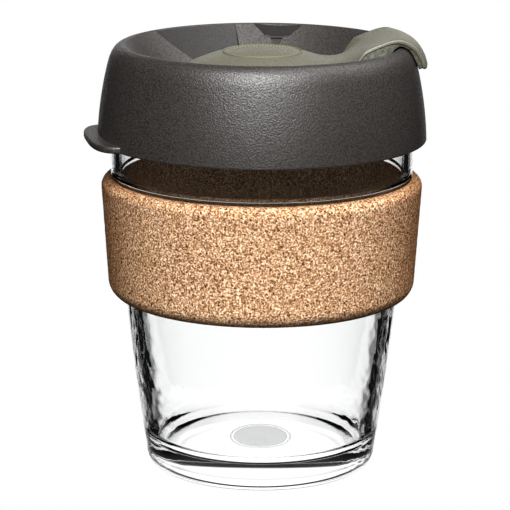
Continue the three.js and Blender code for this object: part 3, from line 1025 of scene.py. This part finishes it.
def plug_cap_rows(outline, inward, armness):
    """Rows from the middle of the dome out to the cap's rounded edge."""
    level = np.zeros(PLUG_COLUMNS)
    edge = (DOME_EDGE + (CAP_EDGE - DOME_EDGE) * armness)[:, None]
    start = outline * RIM_SHARE
    end = outline + inward * edge
    rows = [on_plug(outline * share, level) for share in np.linspace(MIDDLE_SHARE, RIM_SHARE, 60)]
    rows += [on_plug(start + (end - start) * share, level) for share in (0.35, 0.7, 0.9)]
    for turn in np.radians(np.linspace(0, 90, 9)):
        inset = edge * (1 - math.sin(turn))
        rows.append(on_plug(outline + inward * inset, edge[:, 0] * (1 - math.cos(turn))))
    return rows


def plug_core_rows(outline, inward, armness):
    """Rows from the cap's edge down the core's side and back under the arm to the dome."""
    cap = DOME_CAP + (CAP_THICK - DOME_CAP) * armness
    inset = CAP_OVERHANG * armness + 0.02
    core = outline + inward * inset[:, None]
    thick = ARM.thickness(np.hypot(*core.T))
    foot = core + inward * (ARM_TAPER * armness)[:, None]
    rows = [
        on_plug(outline, cap - CAP_GROOVE),
        on_plug(outline + inward * (CAP_GROOVE * armness)[:, None], cap),
        on_plug(core, cap + 0.04),
    ]
    rows += [on_plug(core, cap + (thick - cap) * share) for share in (0.3, 0.6, 0.9)]
    length = np.hypot(*outline.T)
    dome_edge = outline / length[:, None] * ARM.dome_end
    for share in np.linspace(0, 1, 14):
        flat = foot * (1 - share) + dome_edge * share
        rows.append(on_plug(flat, ARM.thickness(np.hypot(*flat.T))))
    return rows


def plug_stem_rows(angle):
    """Round rows from the dome's lower edge up inside it and down the stem."""
    skirt_inner = DOME_RADIUS - DOME_WALL
    inner_sphere = DOME_SPHERE - DOME_WALL
    under_floor = BOWL_FLOOR - FLOOR_WALL - CLEARANCE
    profile = [
        (DOME_RADIUS, DOME_LOW + DOME_CHAMFER),
        (DOME_RADIUS - DOME_CHAMFER / 3, DOME_LOW + DOME_CHAMFER / 3),
        (DOME_RADIUS - DOME_CHAMFER, DOME_LOW),
        (skirt_inner + DOME_CHAMFER, DOME_LOW),
        *[(r, float(dome_height(r, inner_sphere))) for r in np.linspace(skirt_inner, STEM_RADIUS, 12)],
        (STEM_RADIUS, under_floor),
        (SNAP_RADIUS, under_floor),
        (SNAP_RADIUS, STEM_LOW + SNAP_CHAMFER),
        (SNAP_RADIUS - SNAP_CHAMFER, STEM_LOW),
        (AXIS_RING, STEM_LOW),
    ]
    rows = []
    for radius, height in profile:
        x, y = radius * np.cos(angle), radius * np.sin(angle)
        rows.append(np.stack([x, y, np.full(len(angle), height)], axis=1))
    return rows


def build_plug():
    outline = plug_outline()
    ahead = np.roll(outline, -1, axis=0) - np.roll(outline, 1, axis=0)
    inward = np.stack([-ahead[:, 1], ahead[:, 0]], axis=1)
    inward /= np.hypot(*inward.T)[:, None]
    armness = ARM.armness(np.hypot(*outline.T))
    cap = plug_cap_rows(outline, inward, armness)
    core = plug_core_rows(outline, inward, armness)
    stem = plug_stem_rows(np.arctan2(outline[:, 1], outline[:, 0]) + ARM_TURN)
    rows = np.stack([*cap, *core, *stem])[::-1]
    plug = add_mesh("hinged_plug", *closed_rows(rows))
    tone, dark = colour(112, 110, 98), colour(94, 92, 81)
    satin = moulded_plastic("plug_plastic", tone, dark, 0.45, depth=0.03, edge=0.1)
    tone, dark = colour(92, 94, 80), colour(58, 60, 49)
    grained = moulded_plastic("plug_core", tone, dark, 0.6, size=0.7, depth=0.16, edge=0.1)
    plug.data.materials.append(satin)
    plug.data.materials.append(grained)
    # The rows are stacked from the stem up, and the last three of the core belong to the cap.
    first = len(stem)
    for i in range(first, first + len(core) - 3):
        for j in np.flatnonzero(armness > 0.5):
            plug.data.polygons[i * PLUG_COLUMNS + int(j)].material_index = 1
    ride(plug, "plug", "plug_plastic", "plug")
    return plug


# A plain ring and a half disc of raised dots on top of the dome.
RING_RADIUS = 10.6
RING_THICK = 0.32  # radius of its round section
RING_COLUMNS = 120
DOT_RADIUS = 0.45
DOT_COLUMNS = 12
DOT_SINK = 0.15  # how far a dot's middle is sunk in the dome
DOT_SPACING = 1.55
DOT_FIELD = 9.3


def dot_places():
    """Middles of the dots, in rows like a honeycomb, on one half of the field."""
    step = DOT_SPACING * math.sqrt(3) / 2
    places = []
    count = int(DOT_FIELD / step) + 1
    for row in range(count):
        shift = DOT_SPACING / 2 * (row % 2)
        for column in range(-count, count + 1):
            x, y = column * DOT_SPACING + shift, row * step
            if math.hypot(x, y) < DOT_FIELD:
                places.append((x, y))
    return places


def build_dome_mark():
    level = float(dome_height(RING_RADIUS))
    circle = arc((RING_RADIUS, level), (RING_THICK, RING_THICK), 0, 360, 12)[:-1]
    parts = [closed_rows(turned_rows(circle, RING_COLUMNS), ring=True)]
    bump = arc((0, -DOT_SINK), (DOT_RADIUS, DOT_RADIUS), 0, 85, 5)
    cap = turned_rows([(0.05, -DOT_SINK - 0.05), *bump], DOT_COLUMNS)
    dot, faces = closed_rows(cap)
    for x, y in dot_places():
        parts.append((dot + np.array([x, y, float(dome_height(math.hypot(x, y)))]), faces))
    mark = add_mesh("dome_mark", *joined(parts))
    mark.data.materials.append(bpy.data.materials["plug_plastic"])
    ride(mark, "plug", "plug_plastic")
    return mark


# ---- Studio ----

ELEVATION = math.radians(13.714)
DISTANCE = 5.9 * CAD_BOX[1].z
FOCUS_SHARE = 0.478  # height of the point the lens faces, as a share of the object's
LENS = 181.0
SENSOR = 36.0
ROLL = math.radians(0.3)
FRAME_SHIFT = (-0.0124, 0.0066)
CONTRAST = 0.8  # gamma of the finished picture

WHITE = 1.0  # what the lens sees all round
WHITE_THROUGH_GLASS = 1.18  # what mirrored and bent light sees of the backdrop and the floor
DARK = 0.012  # and of the flags and all the rest
FLAG_ANGLE = (math.radians(19), math.radians(26))  # where the backdrop fades to the flags, to each side
SKY = (0.34, 0.42)  # and where it fades to dark overhead, as the upward part of a ray
ALOFT = (0.10, 0.20)  # from here up, light bent by the glass sees white past the flags too
FLOOR_SIZE = 3.0
FLOOR_DROP = 0.2 * MM  # keeps the floor clear of the foot
FLAG_NEAR = (25 * MM, 42 * MM)  # where the floor fades to dark beside the object
FLOOR_FRONT = (-120 * MM, -60 * MM)  # and in front of it, towards the lens
AMBIENT = 0.10  # what scattered light gets from the backdrop
FLOOR_LIGHT = 0.015  # and from the floor
KEY = {"strength": 7.0, "width": 40, "side": -2, "rise": 27}
OVERHEAD = {"strength": 2.2, "width": 60, "side": 80, "rise": 55}


def add_camera():
    data = bpy.data.cameras.new("camera")
    data.lens = LENS
    data.sensor_width = SENSOR
    data.shift_x, data.shift_y = FRAME_SHIFT
    camera = bpy.data.objects.new("camera", data)
    focus = Vector((0, 0, FOCUS_SHARE * CAD_BOX[1].z))
    camera.location = focus + DISTANCE * Vector((0, -math.cos(ELEVATION), math.sin(ELEVATION)))
    pitch = Matrix.Rotation(math.pi / 2 - ELEVATION, 4, "X")
    camera.rotation_euler = (pitch @ Matrix.Rotation(ROLL, 4, "Z")).to_euler()
    bpy.context.scene.collection.objects.link(camera)
    bpy.context.scene.camera = camera
    return camera


def camera_parts(nodes, vector):
    """How far a world vector points to the side and away, as the camera sees it."""
    seen = nodes.add(
        "VectorTransform",
        {"Vector": vector},
        vector_type="VECTOR",
        convert_from="WORLD",
        convert_to="CAMERA",
    )
    parts = nodes.add("SeparateXYZ", {0: seen}).node
    return nodes.math("ABSOLUTE", parts.outputs["X"]), parts.outputs["Z"]


def by_ray(nodes, camera, mirrored, scattered):
    """One strength for the camera, one for mirrored and bent rays and one for scattered light."""
    ray = nodes.add("LightPath").node.outputs
    inputs = {"Value": ray["Is Diffuse Ray"], "To Min": mirrored, "To Max": scattered}
    seen = nodes.add("MapRange", inputs)
    return nodes.add("MapRange", {"Value": ray["Is Camera Ray"], "To Min": seen, "To Max": camera})


def add_world():
    world = bpy.data.worlds.new("studio")
    bpy.context.scene.world = world
    nodes = Nodes(world)
    direction = nodes.add("TexCoord", output="Generated")
    side, away = camera_parts(nodes, direction)
    up = nodes.add("SeparateXYZ", {0: direction}, output="Z")
    between_flags = nodes.between(nodes.math("ARCTAN2", side, away), *FLAG_ANGLE, 1.0, 0.0)
    bent = nodes.add("LightPath", output="Is Transmission Ray")
    over_flags = nodes.math("MULTIPLY", bent, nodes.between(up, *ALOFT))
    lit = nodes.math("MAXIMUM", between_flags, over_flags)
    backdrop = nodes.math("MULTIPLY", lit, nodes.between(up, *SKY, 1.0, 0.0))
    studio = nodes.add("MapRange", {"Value": backdrop, "To Min": DARK, "To Max": WHITE_THROUGH_GLASS})
    strength = by_ray(nodes, WHITE, studio, AMBIENT)
    nodes.finish(nodes.add("Background", {"Color": (1, 1, 1, 1), "Strength": strength}), "OutputWorld")


def add_floor():
    mesh = bpy.data.meshes.new("floor")
    signs = [(-1, -1), (1, -1), (1, 1), (-1, 1)]
    mesh.from_pydata([(FLOOR_SIZE * x, FLOOR_SIZE * y, 0) for x, y in signs], [], [(0, 1, 2, 3)])
    floor = bpy.data.objects.new("floor", mesh)
    floor.location.z = -FLOOR_DROP
    bpy.context.scene.collection.objects.link(floor)
    material, nodes = new_material("floor")
    place = nodes.add("NewGeometry", output="Position")
    side, away = camera_parts(nodes, place)
    spread = nodes.math("MULTIPLY", nodes.math("MAXIMUM", away, 0.0), math.tan(sum(FLAG_ANGLE) / 2))
    between_flags = nodes.between(nodes.math("SUBTRACT", side, spread), *FLAG_NEAR, 1.0, 0.0)
    behind = nodes.math("MULTIPLY", between_flags, nodes.between(away, *FLOOR_FRONT))
    studio = nodes.add("MapRange", {"Value": behind, "To Min": DARK, "To Max": WHITE_THROUGH_GLASS})
    strength = by_ray(nodes, WHITE, studio, FLOOR_LIGHT)
    nodes.finish(nodes.add("Emission", {"Color": (1, 1, 1, 1), "Strength": strength}))
    mesh.materials.append(material)


def add_sun(camera, unlit, name, strength, width, side, rise):
    """A soft light width degrees across, side degrees right of the lens and rise degrees above it.
    It spares the pieces in the unlit collection."""
    data = bpy.data.lights.new(name, "SUN")
    data.energy = strength
    data.angle = math.radians(width)
    light = bpy.data.objects.new(name, data)
    turn = Matrix.Rotation(math.radians(side), 4, "Y") @ Matrix.Rotation(math.radians(-rise), 4, "X")
    light.parent = camera
    light.matrix_parent_inverse = Matrix.Identity(4)
    light.matrix_basis = turn
    light.light_linking.receiver_collection = unlit
    bpy.context.scene.collection.objects.link(light)


def add_studio(glass):
    camera = add_camera()
    add_world()
    add_floor()
    unlit = bpy.data.collections.new("unlit")
    unlit.objects.link(glass)
    unlit.collection_objects[0].light_linking.link_state = "EXCLUDE"
    add_sun(camera, unlit, "key", **KEY)
    add_sun(camera, unlit, "overhead", **OVERHEAD)
    settings = bpy.context.scene.view_settings
    settings.view_transform = "Standard"
    settings.gamma = CONTRAST


tumbler = build_glass()
build_base_oval()
build_band()
build_lid()
build_plug()
build_dome_mark()
add_studio(tumbler)
